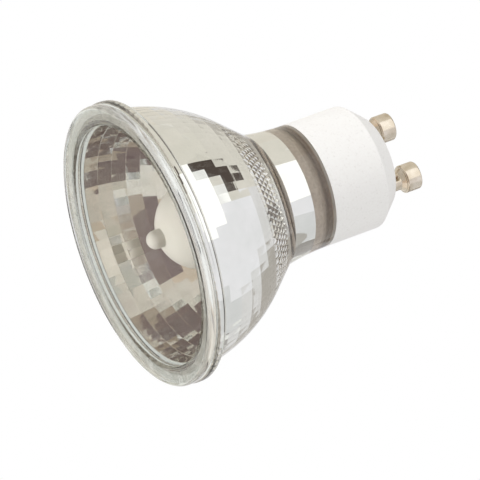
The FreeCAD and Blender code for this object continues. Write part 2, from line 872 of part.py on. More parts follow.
fill, _ = turned(
    "cement_blank",
    [
        (None, "cement_front_z"),
        ("neck_bore", "cement_front_z"),
        ("neck_bore", "cone_start_z"),
        ("spigot_bore", "cone_end_z"),
        ("spigot_bore", "cement_back_z"),
        (None, "cement_back_z"),
    ],
)
fill_around_pinch = cut("cement_around_pinch", fill, envelope)
cement_wires = joined("cement_wires", [outer_right, outer_left, fuse])
nodes.append(cut("capsule_cement", fill_around_pinch, cement_wires))

doc.recompute()

# Every feature is checked, then each piece is written under its own name.

for item in doc.Objects:
    if "Invalid" in item.State or "Error" in item.State:
        raise RuntimeError("%s did not build: %s" % (item.Label, item.State))
os.makedirs("parts", exist_ok=True)
for node in nodes:
    shape = node.Shape
    if shape.isNull() or not shape.isValid():
        raise RuntimeError("%s has no valid shape" % node.Label)
    shape.exportStep("parts/%s.step" % node.Label)
    print(node.Label, len(shape.Solids), round(shape.Volume, 3))
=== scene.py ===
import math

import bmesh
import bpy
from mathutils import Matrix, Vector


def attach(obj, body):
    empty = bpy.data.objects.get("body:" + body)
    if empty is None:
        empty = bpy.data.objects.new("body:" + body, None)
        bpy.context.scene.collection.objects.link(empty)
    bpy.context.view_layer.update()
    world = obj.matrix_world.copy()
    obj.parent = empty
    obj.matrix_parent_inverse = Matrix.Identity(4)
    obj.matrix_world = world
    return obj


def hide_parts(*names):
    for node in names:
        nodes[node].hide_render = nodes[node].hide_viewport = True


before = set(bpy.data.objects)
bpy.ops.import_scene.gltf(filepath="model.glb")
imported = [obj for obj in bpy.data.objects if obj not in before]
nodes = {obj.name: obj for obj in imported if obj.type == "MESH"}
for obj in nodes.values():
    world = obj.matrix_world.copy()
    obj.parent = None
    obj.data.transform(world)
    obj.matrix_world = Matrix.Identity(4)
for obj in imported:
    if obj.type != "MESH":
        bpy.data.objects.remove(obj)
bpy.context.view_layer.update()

# %% [markdown]
# # A halogen spotlight bulb with a faceted mirror bowl
#
# The bulb is a pressed glass bowl with a mirror of many small flats on its inside, a clear cover
# glass, a frosted quartz capsule, a ceramic base and two metal pins. The solids come from the
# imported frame. The bowl, the cover and the capsule are turned again here with many more steps,
# because polished glass shows every step. The other pieces keep their solids and get a finish.

MM = 0.001

# %% [markdown]
# ## Colours and nodes
#
# Colours are written as they look on a screen, as hex values. The renderer adds light linearly,
# so one function turns each value to linear. A second function adds one node to a material with
# its settings, its links and, where it is a colour ramp, its stops: long node lists stay readable
# when each node is one line.

# %% Helpers for finishes


def colour(code):
    """Linear RGBA of an sRGB hex colour."""
    parts = [int(code[i:i + 2], 16) / 255 for i in (1, 3, 5)]
    linear = [p / 12.92 if p <= 0.04045 else ((p + 0.055) / 1.055) ** 2.4 for p in parts]
    return (*linear, 1.0)


def add(owner, kind, inputs=None, stops=(), **settings):
    """Add one node; each input takes a plain value or another node's output."""
    tree = owner.node_tree
    node = tree.nodes.new(kind)
    for name, value in settings.items():
        setattr(node, name, value)
    for name, value in (inputs or {}).items():
        if isinstance(value, bpy.types.NodeSocket):
            tree.links.new(value, node.inputs[name])
        else:
            node.inputs[name].default_value = value
    for number, (place, code) in enumerate(stops):
        elements = node.color_ramp.elements
        if number == len(elements):
            elements.new(place)
        elements[number].position = place
        elements[number].color = colour(code)
    return node


def finish_named(name):
    """A material with an empty node tree."""
    material = bpy.data.materials.new(name)
    material.use_nodes = True
    material.node_tree.nodes.clear()
    return material


print("middle grey in linear light:", round(colour("#808080")[0], 3))

# %% [markdown]
# ## The camera
#
# The photograph is taken with a long lens from a little below the bulb's open face, with the
# bulb's axis rising to the right. Three angles and a distance say this better than a matrix: the
# camera goes round the bulb, then down, and then rolls about its own axis.

# %% Camera
CAMERA_AZIMUTH = 18.1
CAMERA_ELEVATION = -23.54
CAMERA_ROLL = 69.96
CAMERA_DISTANCE = 850.3 * MM
AIM_RIGHT = 18.12 * MM
AIM_UP = 1.30 * MM
LENS_MM = 374.48
SENSOR_MM = 36.0
NEAREST_SEEN = 0.01
FARTHEST_SEEN = 20.0

azimuth = math.radians(CAMERA_AZIMUTH)
elevation = math.radians(CAMERA_ELEVATION)
roll = math.radians(CAMERA_ROLL)
camera_back = Vector((
    math.sin(azimuth) * math.cos(elevation),
    -math.cos(azimuth) * math.cos(elevation),
    math.sin(elevation),
))
level_right = Vector((math.cos(azimuth), math.sin(azimuth), 0.0))
level_up = camera_back.cross(level_right)
camera_right = math.cos(roll) * level_right + math.sin(roll) * level_up
camera_up = math.cos(roll) * level_up - math.sin(roll) * level_right

camera_data = bpy.data.cameras.new("camera")
camera_data.sensor_width = SENSOR_MM
camera_data.lens = LENS_MM
camera_data.clip_start = NEAREST_SEEN
camera_data.clip_end = FARTHEST_SEEN
camera = bpy.data.objects.new("camera", camera_data)
turn = Matrix((camera_right, camera_up, camera_back)).transposed()
place = camera_back * CAMERA_DISTANCE + camera_right * AIM_RIGHT + camera_up * AIM_UP
camera.matrix_world = Matrix.Translation(place) @ turn.to_4x4()
scene = bpy.context.scene
scene.collection.objects.link(camera)
scene.camera = camera
print("camera at", [round(x, 4) for x in place])

# %% [markdown]
# ## Sky
#
# The bulb stands in a white tent: the sky is plain white for the camera and for whatever glass and
# metal mirror. Matte surfaces take a little less from it, and two soft lamps make up for that.
# Light crosses many faces of glass and meets the mirror more than once inside the bulb, so the
# renderer is let follow each ray through more bounces than usual.

# %% Sky
SKY_SEEN = 1.0
SKY_DIFFUSE = 0.85
BOUNCES = 24
MIRROR_BOUNCES = 16
GLASS_BOUNCES = 20
scene.cycles.max_bounces = BOUNCES
scene.cycles.glossy_bounces = MIRROR_BOUNCES
scene.cycles.transmission_bounces = GLASS_BOUNCES
scene.view_settings.view_transform = "Standard"

world = bpy.data.worlds.new("white_tent")
world.use_nodes = True
world.node_tree.nodes.clear()
scene.world = world
path = add(world, "ShaderNodeLightPath")
seen = add(world, "ShaderNodeMath", {
    0: path.outputs["Is Camera Ray"], 1: path.outputs["Is Glossy Ray"]}, operation="MAXIMUM")
seen = add(world, "ShaderNodeMath", {
    0: seen.outputs[0], 1: path.outputs["Is Transmission Ray"]}, operation="MAXIMUM")
strength = add(world, "ShaderNodeMapRange", {
    "Value": seen.outputs[0], "To Min": SKY_DIFFUSE, "To Max": SKY_SEEN})
sky = add(world, "ShaderNodeBackground", {
    "Color": colour("#ffffff"), "Strength": strength.outputs[0]})
add(world, "ShaderNodeOutputWorld", {"Surface": sky.outputs[0]})
print("sky strength:", SKY_SEEN, "as seen,", SKY_DIFFUSE, "on matte surfaces")

# %% [markdown]
# ## Lamps
#
# Two round lamps, half a metre wide, give the ceramic base a light side and a shaded side. The
# second one looks into the open side, where the capsule would be in the bowl's shade.

# %% Lamps
LAMP_SIZE = 0.5
KEY_WATTS = 3.0
FILL_WATTS = 7.8
LAMP_AIM = Vector((0.0, 0.0, 24 * MM))


def from_camera(right, up, back):
    """A point given in metres along the camera's right, up and back directions."""
    return camera_right * right + camera_up * up + camera_back * back


def soft_lamp(name, watts, position):
    """A round soft lamp that lights matte surfaces only: mirrors see the cards in its place."""
    data = bpy.data.lights.new(name, "AREA")
    data.shape = "DISK"
    data.size = LAMP_SIZE
    data.energy = watts
    lamp = bpy.data.objects.new(name, data)
    lamp.location = position
    lamp.rotation_euler = (LAMP_AIM - position).to_track_quat("-Z", "Y").to_euler()
    lamp.visible_glossy = False
    lamp.visible_transmission = False
    scene.collection.objects.link(lamp)
    print(name, "at", [round(x, 2) for x in position])


soft_lamp("key_lamp", KEY_WATTS, from_camera(-0.45, 0.6, 0.5))
soft_lamp("fill_lamp", FILL_WATTS, from_camera(-0.8, -0.3, 0.4))

# %% [markdown]
# ## What the mirrors see
#
# A mirror has no look of its own: it shows the room. A plain white tent would make the bowl a
# white blank, so the room gets a few large cards, as a photographer sets them: a bright window with
# a black frame, cream walls, a grey table and the dark side from which the picture is taken. Each
# card is a patch of a wide sphere between two edges, given as headings from the bulb: azimuth and
# elevation in degrees, with zero towards the photographer. Only mirrors and clear glass see them.

# %% A card between two edges
CARD_DISTANCE = 3.0
CARD_RUNS = 20
CARD_SPLITS = 4


def heading(azimuth_deg, elevation_deg, distance):
    """A point at a heading from the bulb, measured from the camera's own directions."""
    a, e = math.radians(azimuth_deg), math.radians(elevation_deg)
    return from_camera(math.sin(a) * math.cos(e) * distance, math.sin(e) * distance,
                       math.cos(a) * math.cos(e) * distance)


def between(first, last, share):
    """The heading that lies a share of the way from the first to the last."""
    return tuple(a + (b - a) * share for a, b in zip(first, last))


def card(name, left, right, code, nearer=0.0, level=1.0):
    """A glowing patch between two edges with as many headings each, listed from below."""
    verts, faces = [], []
    rows = (len(left) - 1) * CARD_SPLITS
    for row in range(rows + 1):
        pair = min(row // CARD_SPLITS, len(left) - 2)
        share = row / CARD_SPLITS - pair
        ends = [between(edge[pair], edge[pair + 1], share) for edge in (left, right)]
        for run in range(CARD_RUNS + 1):
            spot = between(*ends, run / CARD_RUNS)
            verts.append(heading(*spot, CARD_DISTANCE - nearer))
    wide = CARD_RUNS + 1
    for row in range(rows):
        for run in range(CARD_RUNS):
            at = row * wide + run
            faces.append((at, at + 1, at + wide + 1, at + wide))
    mesh = bpy.data.meshes.new(name)
    mesh.from_pydata(verts, [], faces)
    paint = finish_named(name + "_cloth")
    glow = add(paint, "ShaderNodeEmission", {"Color": colour(code), "Strength": level})
    add(paint, "ShaderNodeOutputMaterial", {"Surface": glow.outputs[0]})
    mesh.materials.append(paint)
    board = bpy.data.objects.new(name, mesh)
    board.visible_camera = False
    board.visible_diffuse = False
    board.visible_shadow = False
    scene.collection.objects.link(board)


def plain_card(name, turns, heights, code, nearer=0.0, level=1.0):
    """A card between two azimuths and two elevations."""
    left, right = ([(azimuth_deg, height) for height in heights] for azimuth_deg in turns)
    card(name, left, right, code, nearer, level)


print("cards stand", CARD_DISTANCE, "m away")

# %% [markdown]
# The bowl's inside sees the side from which the picture is taken: a dark middle with uneven edges,
# a cream wall to its left, a taupe one to its right, and pale paper above and below. The flat
# cover glass mirrors one heading over the whole open face, so a dark flag stands there and keeps
# the face clear.

# %% Cards that the inside sees
BEHIND = 180
WALL_LEFT = -122
WALL_RIGHT = 40
FOOT = -85
PAPER_LOW = -45
PAPER_HIGH = 35
WALL_TOP = 57
BEHIND_SPLIT = 12
PAPER_GLOW = 1.09

heights = (PAPER_LOW, -36, -24, -12, 0, 6, 18, 24, 30, PAPER_HIGH)
dark_left = list(zip((-12, -12, -12, -12, -14, -23, -26, -35, -29, -24), heights))
dark_right = list(zip((5, 1, 12, 7, 3, 7, 2, 1, 6, -4), heights))
card("cream_wall_left", [(WALL_LEFT, height) for height in heights], dark_left, "#eedccb")
card("dark_side", dark_left, dark_right, "#8c787b")
card("taupe_wall", dark_right, [(WALL_RIGHT, height) for height in heights], "#c7b5a8")
front = (WALL_LEFT, WALL_RIGHT)
plain_card("paper_above", front, (PAPER_HIGH, WALL_TOP), "#faf1e8")
plain_card("paper_below", front, (FOOT, PAPER_LOW), "#fff8f2", level=PAPER_GLOW)
rear = (-BEHIND, WALL_LEFT)
plain_card("grey_behind", rear, (FOOT, BEHIND_SPLIT), "#f6f6f4")
plain_card("cream_behind", rear, (BEHIND_SPLIT, WALL_TOP), "#e9e3d8")
plain_card("cover_flag", (-144, -128), (-22, -6), "#4a4646", nearer=0.2)
print("the inside sees the cards from", WALL_LEFT, "to", WALL_RIGHT, "degrees")

# %% [markdown]
# The bowl's outside sees the other side of the room: a ceiling, a far wall with a darker corner,
# and a table whose end lies in shade. Small cards stand a little nearer than the large ones that
# they lie before.

# %% Ceiling, wall and table
TABLE_EDGE = 27
TABLE_SPLIT = 112
TABLE_FRONT = -32
TABLE_FOOT = -57
SHADE_NEARER = 0.1

plain_card("cream_ceiling", (-BEHIND, BEHIND), (WALL_TOP, 89), "#ece8df")
plain_card("far_wall", (84, BEHIND), (TABLE_EDGE, WALL_TOP), "#e7e3db")
plain_card("far_corner", (143, 173), (8, 32), "#c4bfb8", SHADE_NEARER)
plain_card("table_near", (WALL_RIGHT, TABLE_SPLIT), (TABLE_FRONT, TABLE_EDGE), "#f9f9ff")
plain_card("table_far", (TABLE_SPLIT, BEHIND), (TABLE_FRONT, TABLE_EDGE), "#e9e8ea")
plain_card("table_end", (122, 169), (-21, -3), "#bcb7b2", SHADE_NEARER)
plain_card("table_low", (WALL_RIGHT, 140), (TABLE_FOOT, TABLE_FRONT), "#e4e5e8")
card("table_shade", [(140, TABLE_FOOT), (150, TABLE_FRONT)],
     [(BEHIND, TABLE_FOOT), (BEHIND, -27)], "#9a9591", SHADE_NEARER)
plain_card("floor_shade", (WALL_RIGHT, BEHIND), (-89, TABLE_FOOT), "#b9b5b0")
print("the outside sees the cards from", WALL_RIGHT, "to", BEHIND, "degrees")

# %% [markdown]
# The window is the brightest thing in the room and the black frame beside it the darkest. Their
# edges are read from where the flats of the bowl turn from one to the other, so each has a few
# corners.

# %% Window and frame
WINDOW_NEARER = 0.3
WINDOW_GLOW = 1.35
FRAME_NEARER = 0.4
WINDOW_CODE = "#ffffff"
FRAME_CODE = "#574e49"

window_parts = {
    "window": ([(30, -9), (28, 12), (20, 36), (10, 63)],
               [(38, -9), (73, 12), (80, 36), (66, 63)]),
    "window_side": ([(38, -9), (58, 6), (73, 12)],
                    [(58, 0), (64, 6), (82, 22)]),
    "window_top": ([(80, 36), (66, 63)],
                   [(82, 22), (73, 54)]),
}
frame_parts = {
    "frame_top": ([(76, 54), (77, 61)],
                  [(108, 49), (104, 59)]),
    "frame_side": ([(94, 33), (94, 42), (85, 48), (80, 54)],
                   [(112, 35), (116, 40), (109, 49), (108, 50)]),
}
for name, (left, right) in window_parts.items():
    card(name, left, right, WINDOW_CODE, WINDOW_NEARER, WINDOW_GLOW)
for name, (left, right) in frame_parts.items():
    card(name, left, right, FRAME_CODE, FRAME_NEARER)
print("window and frame in", len(window_parts) + len(frame_parts), "cards")

# %% [markdown]
# ## The floor
#
# The floor is a sweep of pale paper just under the cover glass. The photograph looks up at the
# bulb from below that plane, so the floor is clear from its underside: only rays that come from
# the camera and meet its upper side see it, with the bulb's shadow on it. Paper is matte, and its
# pulp gives it faint clouds a few millimetres wide.

# %% Floor
FLOOR_SIZE = 6.0
FLOOR_DROP = 0.05 * MM
PULP_MM = 20 / 3
half = FLOOR_SIZE / 2
corners = [(-half, -half), (half, -half), (half, half), (-half, half)]
floor_mesh = bpy.data.meshes.new("floor")
floor_mesh.from_pydata([(x, y, -FLOOR_DROP) for x, y in corners], [], [(0, 1, 2, 3)])
floor = bpy.data.objects.new("floor", floor_mesh)
scene.collection.objects.link(floor)

paper = finish_named("pale_paper_sweep")
ray = add(paper, "ShaderNodeLightPath")
facing = add(paper, "ShaderNodeNewGeometry")
upper = add(paper, "ShaderNodeMath", {
    0: 1.0, 1: facing.outputs["Backfacing"]}, operation="SUBTRACT")
shown = add(paper, "ShaderNodeMath", {
    0: ray.outputs["Is Camera Ray"], 1: upper.outputs[0]}, operation="MULTIPLY")
pulp = add(paper, "ShaderNodeTexNoise", {"Scale": FLOOR_SIZE / (PULP_MM * MM), "Detail": 3.0})
tone = add(paper, "ShaderNodeValToRGB", {"Fac": pulp.outputs["Fac"]},
           stops=[(0.3, "#f7f7f5"), (0.7, "#fafaf8")])
sheet = add(paper, "ShaderNodeBsdfDiffuse", {"Color": tone.outputs["Color"]})
clear = add(paper, "ShaderNodeBsdfTransparent")
mixed = add(paper, "ShaderNodeMixShader", {
    "Fac": shown.outputs[0], 1: clear.outputs[0], 2: sheet.outputs[0]})
add(paper, "ShaderNodeOutputMaterial", {"Surface": mixed.outputs[0]})
floor_mesh.materials.append(paper)
print("floor at", -FLOOR_DROP, "m")

# %% [markdown]
# ## Turning a shape
#
# Nearly every piece of a lamp is made on a lathe or pressed in a round die, so a half outline and
# one turn give its true form. The outline is a list of radius and height in millimetres. Arcs are
# added as short runs. Smooth shading blends the slant of neighbouring faces, so a long straight
# run beside a small round would look curved all over, and clear glass would bend light like a
# lens. A short run at each end of it keeps the rest truly flat.

# %% Outlines
BRACE_MM = 0.03
LONG_RUN_MM = 0.3


def arc(first, last, radius, left=True, runs=10):
    """Points of a circle arc after first and up to last; left tells the side of its centre."""
    a, b = Vector(first), Vector(last)
    chord = b - a
    reach = math.sqrt(max(radius ** 2 - (chord.length / 2) ** 2, 0.0))
    side = Vector((-chord.y, chord.x)).normalized()
    centre = (a + b) / 2 + side * (reach if left else -reach)
    start = math.atan2(a.y - centre.y, a.x - centre.x)
    sweep = 2 * math.asin(min(chord.length / 2 / radius, 1.0)) * (1 if left else -1)
    points = []
    for run in range(1, runs + 1):
        angle = start + sweep * run / runs
        points.append((centre.x + radius * math.cos(angle), centre.y + radius * math.sin(angle)))
    return points


def braced(outline):
    """The outline with a short run at both ends of each long one."""
    points = [outline[0]]
    for first, last in zip(outline, outline[1:]):
        a, b = Vector(first), Vector(last)
        if (b - a).length > LONG_RUN_MM:
            step = (b - a).normalized() * BRACE_MM
            points += [tuple(a + step), tuple(b - step)]
        points.append(last)
    return points


print("a quarter round as runs:", len(arc((1.0, 0.0), (0.0, 1.0), 1.0)))

# %% [markdown]
# A turned piece is a stack of rings with faces between them. Edges that meet at more than a small
# angle stay sharp, and the rest are shaded smooth.

# %% Rings and pieces
STEPS = 320
SHARP = math.radians(28)
ON_AXIS_MM = 1e-6


def ring(bm, radius, height, count=STEPS, turn=0.0):
    """A ring of vertices, or the same single vertex over and over on the axis."""
    if radius < ON_AXIS_MM:
        return [bm.verts.new((0.0, 0.0, height * MM))] * count
    verts = []
    for number in range(count):
        angle = 2 * math.pi * (number + turn) / count
        verts.append(bm.verts.new((
            radius * MM * math.cos(angle), radius * MM * math.sin(angle), height * MM)))
    return verts


def band(bm, lower, upper, material=0, smooth=True):
    """Faces between two rings of equal count."""
    count = len(lower)
    for number in range(count):
        after = (number + 1) % count
        corners = []
        for vert in (lower[number], lower[after], upper[after], upper[number]):
            if vert not in corners:
                corners.append(vert)
        face = bm.faces.new(corners)
        face.material_index = material
        face.smooth = smooth


def piece_from(bm, name, materials, replaced):
    """Turn a bmesh into a piece that rides on the lamp in place of a solid."""
    bmesh.ops.recalc_face_normals(bm, faces=bm.faces)
    for edge in bm.edges:
        if len(edge.link_faces) == 2 and edge.calc_face_angle(0.0) > SHARP:
            edge.smooth = False
    mesh = bpy.data.meshes.new(name)
    bm.to_mesh(mesh)
    bm.free()
    for material in materials:
        mesh.materials.append(material)
    piece = bpy.data.objects.new(name, mesh)
    scene.collection.objects.link(piece)
    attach(piece, "root")
    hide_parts(replaced)
    print(name, "faces:", len(mesh.polygons))
    return piece


print("steps in one turn:", STEPS)

# %% [markdown]
# ## Pressed clear glass
#
# The bowl and the cover are a hard glass like that of oven ware, pressed hot in a die. It is clear
# with a faint green-grey cast where one looks through its edge, and its fire-polished skin is not
# quite flat, so reflections swim a little. A glass shader with a slightly tinted skin gives the
# cast, deeper where light crosses more faces, and a low, wide bump gives the skin.

# %% Glass
GLASS_IOR = 1.47
GLASS_ROUGHNESS = 0.01
SKIN_WAVE_MM = 6.0
SKIN_DEPTH_MM = 0.008
STREAK_MM = 4.0


def clear_glass(name, tint):
    """Pressed glass: a clear body with a faint tint and a slightly wavy skin."""
    material = finish_named(name)
    place = add(material, "ShaderNodeTexCoord").outputs["Object"]
    skin = add(material, "ShaderNodeTexNoise", {
        "Vector": place, "Scale": 1 / (SKIN_WAVE_MM * MM), "Detail": 1.0})
    bump = add(material, "ShaderNodeBump", {
        "Height": skin.outputs["Fac"], "Distance": SKIN_DEPTH_MM * MM, "Strength": 0.6})
    streak = add(material, "ShaderNodeTexNoise", {
        "Vector": place, "Scale": 1 / (STREAK_MM * MM), "Detail": 2.0})
    tone = add(material, "ShaderNodeValToRGB", {"Fac": streak.outputs["Fac"]},
               stops=[(0.35, tint[0]), (0.65, tint[1])])
    body = add(material, "ShaderNodeBsdfPrincipled", {
        "Base Color": tone.outputs["Color"], "Transmission Weight": 1.0,
        "Roughness": GLASS_ROUGHNESS, "IOR": GLASS_IOR, "Normal": bump.outputs["Normal"]})
    add(material, "ShaderNodeOutputMaterial", {"Surface": body.outputs["BSDF"]})
    print(name, "tinted", tint)
    return material


cover_finish = clear_glass("pressed_borosilicate_cover", ("#f7faf7", "#fcfdfb"))
bowl_finish = clear_glass("pressed_borosilicate_bowl", ("#f2f5f2", "#f9fbf9"))

# %% [markdown]
# ## Mirror coating
#
# A film of aluminium, evaporated in a vacuum, lines the bowl. It is far thinner than a hair and
# follows each flat of the glass exactly, so every flat is a small sharp mirror. It is part of the
# bowl's own inner skin here: those faces get a metal in place of the glass. Films are never quite
# even, so the tone drifts a little, and a fine haze widens the gloss.

# %% Evaporated aluminium
DRIFT_MM = 9.0
HAZE_MM = 0.8
mirror_finish = finish_named("evaporated_aluminium")
place = add(mirror_finish, "ShaderNodeTexCoord").outputs["Object"]
drift = add(mirror_finish, "ShaderNodeTexNoise", {
    "Vector": place, "Scale": 1 / (DRIFT_MM * MM), "Detail": 2.0})
tone = add(mirror_finish, "ShaderNodeValToRGB", {"Fac": drift.outputs["Fac"]},
           stops=[(0.3, "#eceae6"), (0.7, "#f3f1ee")])
haze = add(mirror_finish, "ShaderNodeTexNoise", {
    "Vector": place, "Scale": 1 / (HAZE_MM * MM), "Detail": 2.0})
gloss = add(mirror_finish, "ShaderNodeMapRange", {
    "Value": haze.outputs["Fac"], "To Min": 0.02, "To Max": 0.05})
film = add(mirror_finish, "ShaderNodeBsdfPrincipled", {
    "Base Color": tone.outputs["Color"], "Metallic": 1.0, "Roughness": gloss.outputs["Result"]})
add(mirror_finish, "ShaderNodeOutputMaterial", {"Surface": film.outputs["BSDF"]})
print("mirror haze of", HAZE_MM, "mm, tone drift of", DRIFT_MM, "mm")

# %% [markdown]
# ## Cement
#
# A grey-brown potting cement holds the capsule in the neck and the base on the bowl. Dried cement
# is matte and sandy. It wets the glass, so it shows through the clear neck as a plain taupe band.

# %% Potting cement
SAND_MM = 0.6
SAND_DEPTH_MM = 0.05
cement = finish_named("potting_cement")
place = add(cement, "ShaderNodeTexCoord").outputs["Object"]
sand = add(cement, "ShaderNodeTexNoise", {
    "Vector": place, "Scale": 1 / (SAND_MM * MM), "Detail": 5.0})
tone = add(cement, "ShaderNodeValToRGB", {"Fac": sand.outputs["Fac"]},
           stops=[(0.3, "#d3c6b8"), (0.7, "#e8dccf")])
bump = add(cement, "ShaderNodeBump", {
    "Height": sand.outputs["Fac"], "Distance": SAND_DEPTH_MM * MM})
body = add(cement, "ShaderNodeBsdfPrincipled", {
    "Base Color": tone.outputs["Color"], "Roughness": 0.9, "Normal": bump.outputs["Normal"]})
add(cement, "ShaderNodeOutputMaterial", {"Surface": body.outputs["BSDF"]})
print("cement grain:", SAND_MM, "mm")

# %% [markdown]
# ## The bowl
#
# The real bowl is pressed in one stroke: smooth outside, and inside a punch with six rows of
# eighty flats, then a band of small pyramids near the throat. Every size here is in millimetres
# and the same as the solid's. The bowl's side is one wide arc, so a few sizes are worked out from
# where that arc starts and ends.

# %% Sizes of the bowl's outside
RIM_RADIUS = 25.35
SEAT = 2.05
FLANGE_BACK = 3.6
FLANGE_ROUND = 0.45
FLANGE_STEP = 1.9
BOWL_LENGTH = 15.89
BOWL_BOW = math.radians(17.3)
SHOULDER_DROP = 4.66
BASE_RADIUS = 11.15
NECK_FLARE = 0.93
NECK_LENGTH = 8.7
NECK_BOW = 43.0

start_radius = RIM_RADIUS - FLANGE_STEP
neck_start_radius = BASE_RADIUS + NECK_FLARE
end_radius = neck_start_radius + SHOULDER_DROP
narrowing = start_radius - end_radius
tilt = math.atan(narrowing / BOWL_LENGTH)
start_angle = tilt - BOWL_BOW
end_angle = tilt + BOWL_BOW
bowl_radius = math.hypot(BOWL_LENGTH, narrowing) / 2 / math.sin(BOWL_BOW)
bowl_centre = FLANGE_BACK - bowl_radius * math.sin(start_angle)
bowl_drop = bowl_radius * math.cos(start_angle) - start_radius
slope = math.tan(end_angle)
bowl_end = FLANGE_BACK + BOWL_LENGTH
neck_start = bowl_end + SHOULDER_DROP / slope
neck_end = neck_start + NECK_LENGTH
print("neck from", round(neck_start, 3), "to", round(neck_end, 3))

# %% [markdown]
# The inside follows the same arc at the glass's thickness. Each row starts with a tiny ledge,
# which shows as the fine rings on a real lamp, and polishing leaves each flat a few thousandths of
# a millimetre full in its middle.

# %% Sizes of the bowl's inside
BOWL_WALL = 1.95
NECK_BORE = 9.6
SPIGOT_RADIUS = 8.9
SPIGOT_BORE = 7.2
SPIGOT_LENGTH = 5.5
CONE = 2.2
CONE_INSET = 0.075
MIRROR_END = 29.9
MOUTH_GAP = 0.15
FLATS = 80
ROWS = 6
PARTS = 4
PILLOW = 0.33
LEDGE = 0.06
END_TURN = math.radians(2.5)

inner_radius = bowl_radius - BOWL_WALL
first_angle = math.asin((FLANGE_BACK - bowl_centre) / inner_radius)
last_angle = end_angle - END_TURN
row_angle = (last_angle - first_angle) / ROWS


def flat_place(row, extra=0.0):
    """Radius and height of a row's edge on the inner bowl."""
    angle = first_angle + row_angle * row
    return (inner_radius * math.cos(angle) - bowl_drop + extra,
            bowl_centre + inner_radius * math.sin(angle))


print("flats from", round(flat_place(0)[1], 2), "to", round(flat_place(ROWS)[1], 2), "mm up")

# %% [markdown]
# The outside, the neck and the spigot are turned in one outline. Where cement wets the glass there
# is no jump from glass to air, so the bowl's own skin takes the cement's finish there: the rings
# from the end of the neck on, round the spigot and back through the bore.

# %% Outside, neck and spigot
GLASS, MIRROR, WETTED = 0, 1, 2
BOWL_RUNS = 40
NECK_RUNS = 14

bm = bmesh.new()
outside = [(flat_place(0)[0] + MOUTH_GAP, SEAT), (RIM_RADIUS - FLANGE_ROUND, SEAT)]
outside += arc(outside[-1], (RIM_RADIUS, SEAT + FLANGE_ROUND), FLANGE_ROUND)
outside += [(RIM_RADIUS, FLANGE_BACK - FLANGE_ROUND)]
outside += arc(outside[-1], (RIM_RADIUS - FLANGE_ROUND, FLANGE_BACK), FLANGE_ROUND)
outside += [(start_radius, FLANGE_BACK)]
outside += arc(outside[-1], (end_radius, bowl_end), bowl_radius, runs=BOWL_RUNS)
outside += [(neck_start_radius, neck_start)]
outside += arc(outside[-1], (BASE_RADIUS, neck_end), NECK_BOW, left=False, runs=NECK_RUNS)
clear_rings = len(braced(outside))
outside += [(SPIGOT_RADIUS, neck_end), (SPIGOT_RADIUS, neck_end + SPIGOT_LENGTH)]
outside += [(SPIGOT_BORE, neck_end + SPIGOT_LENGTH)]
cone_end = neck_end - CONE_INSET
outside += [(SPIGOT_BORE, cone_end), (NECK_BORE, cone_end - CONE), (NECK_BORE, MIRROR_END)]
rings = [ring(bm, radius, height) for radius, height in braced(outside)]
for number, (lower, upper) in enumerate(zip(rings, rings[1:]), start=1):
    band(bm, lower, upper, GLASS if number < clear_rings else WETTED)
mouth = ring(bm, flat_place(0)[0] + MOUTH_GAP, flat_place(0)[1])
band(bm, mouth, rings[0], GLASS)
print("rings:", len(rings), "of which clear:", clear_rings)

# %% [markdown]
# A row of flats is made as a punch cuts it: straight runs between corners that lie on a circle.
# Each flat is split four by four so that it can swell by a hair, and its edges are marked sharp.

# %% Rows of flats


def flats_ring(bm, radius, height, bulge, lift):
    """A ring of straight runs, one for each flat, with each run bent out by a hair."""
    corners = []
    for number in range(FLATS):
        angle = 2 * math.pi * number / FLATS
        corners.append(Vector((math.cos(angle), math.sin(angle), 0.0)) * (radius + lift[0]))
    verts = []
    for number in range(FLATS):
        first, last = corners[number], corners[(number + 1) % FLATS]
        outward = (first + last).normalized()
        for part in range(PARTS):
            share = part / PARTS
            point = first.lerp(last, share) + outward * bulge * 4 * share * (1 - share)
            point.z = height + lift[1]
            verts.append(bm.verts.new(point * MM))
    return verts


def crisp(bm, lower, upper=None, every=1):
    """Mark the edges along a ring, or the edges between two rings, as sharp."""
    for number in range(0, len(lower), every):
        mate = upper[number] if upper else lower[(number + 1) % len(lower)]
        edge = bm.edges.get((lower[number], mate))
        if edge:
            edge.smooth = False


before = mouth
row_bulge = PILLOW * inner_radius * (1 - math.cos(row_angle / 2))
for row in range(ROWS):
    lower, upper = flat_place(row), flat_place(row + 1, LEDGE)
    middle = first_angle + row_angle * (row + 0.5)
    strips = []
    for part in range(PARTS + 1):
        share = part / PARTS
        radius = lower[0] + (upper[0] - lower[0]) * share
        height = lower[1] + (upper[1] - lower[1]) * share
        swell = row_bulge * 4 * share * (1 - share)
        bulge = PILLOW * radius * (1 - math.cos(math.pi / FLATS))
        strips.append(flats_ring(bm, radius, height, bulge,
                                 (swell * math.cos(middle), swell * math.sin(middle))))
    for near, far in zip(strips, strips[1:]):
        band(bm, near, far, MIRROR)
        crisp(bm, near, far, PARTS)
    band(bm, before, strips[0], MIRROR, smooth=False)
    crisp(bm, strips[0])
    crisp(bm, strips[-1])
    before = strips[-1]
print("flats:", FLATS * ROWS, "swollen by", round(row_bulge * 1000, 1), "thousandths of a mm")

# %% [markdown]
# Past the flats the punch has small pyramids, which scatter the capsule's light so that the throat
# doesn't throw a hot spot. Each ring of them is turned by half a step against the last, and their
# flat sides glitter.

# %% Pyramids and throat
PYRAMID_ROWS = 6
PYRAMID_DEPTH = 0.2
THROAT_STEP = 2.55


def capped(bm, circle, polygon):
    """Flat ring between a fine circle and a coarser polygon that starts at the same angle."""
    share = len(circle) // len(polygon)
    for number in range(len(polygon)):
        run = [circle[(number * share + k) % len(circle)] for k in range(share + 1)]
        face = bm.faces.new([polygon[number]] + run + [polygon[(number + 1) % len(polygon)]])
        face.material_index = MIRROR
        face.smooth = False


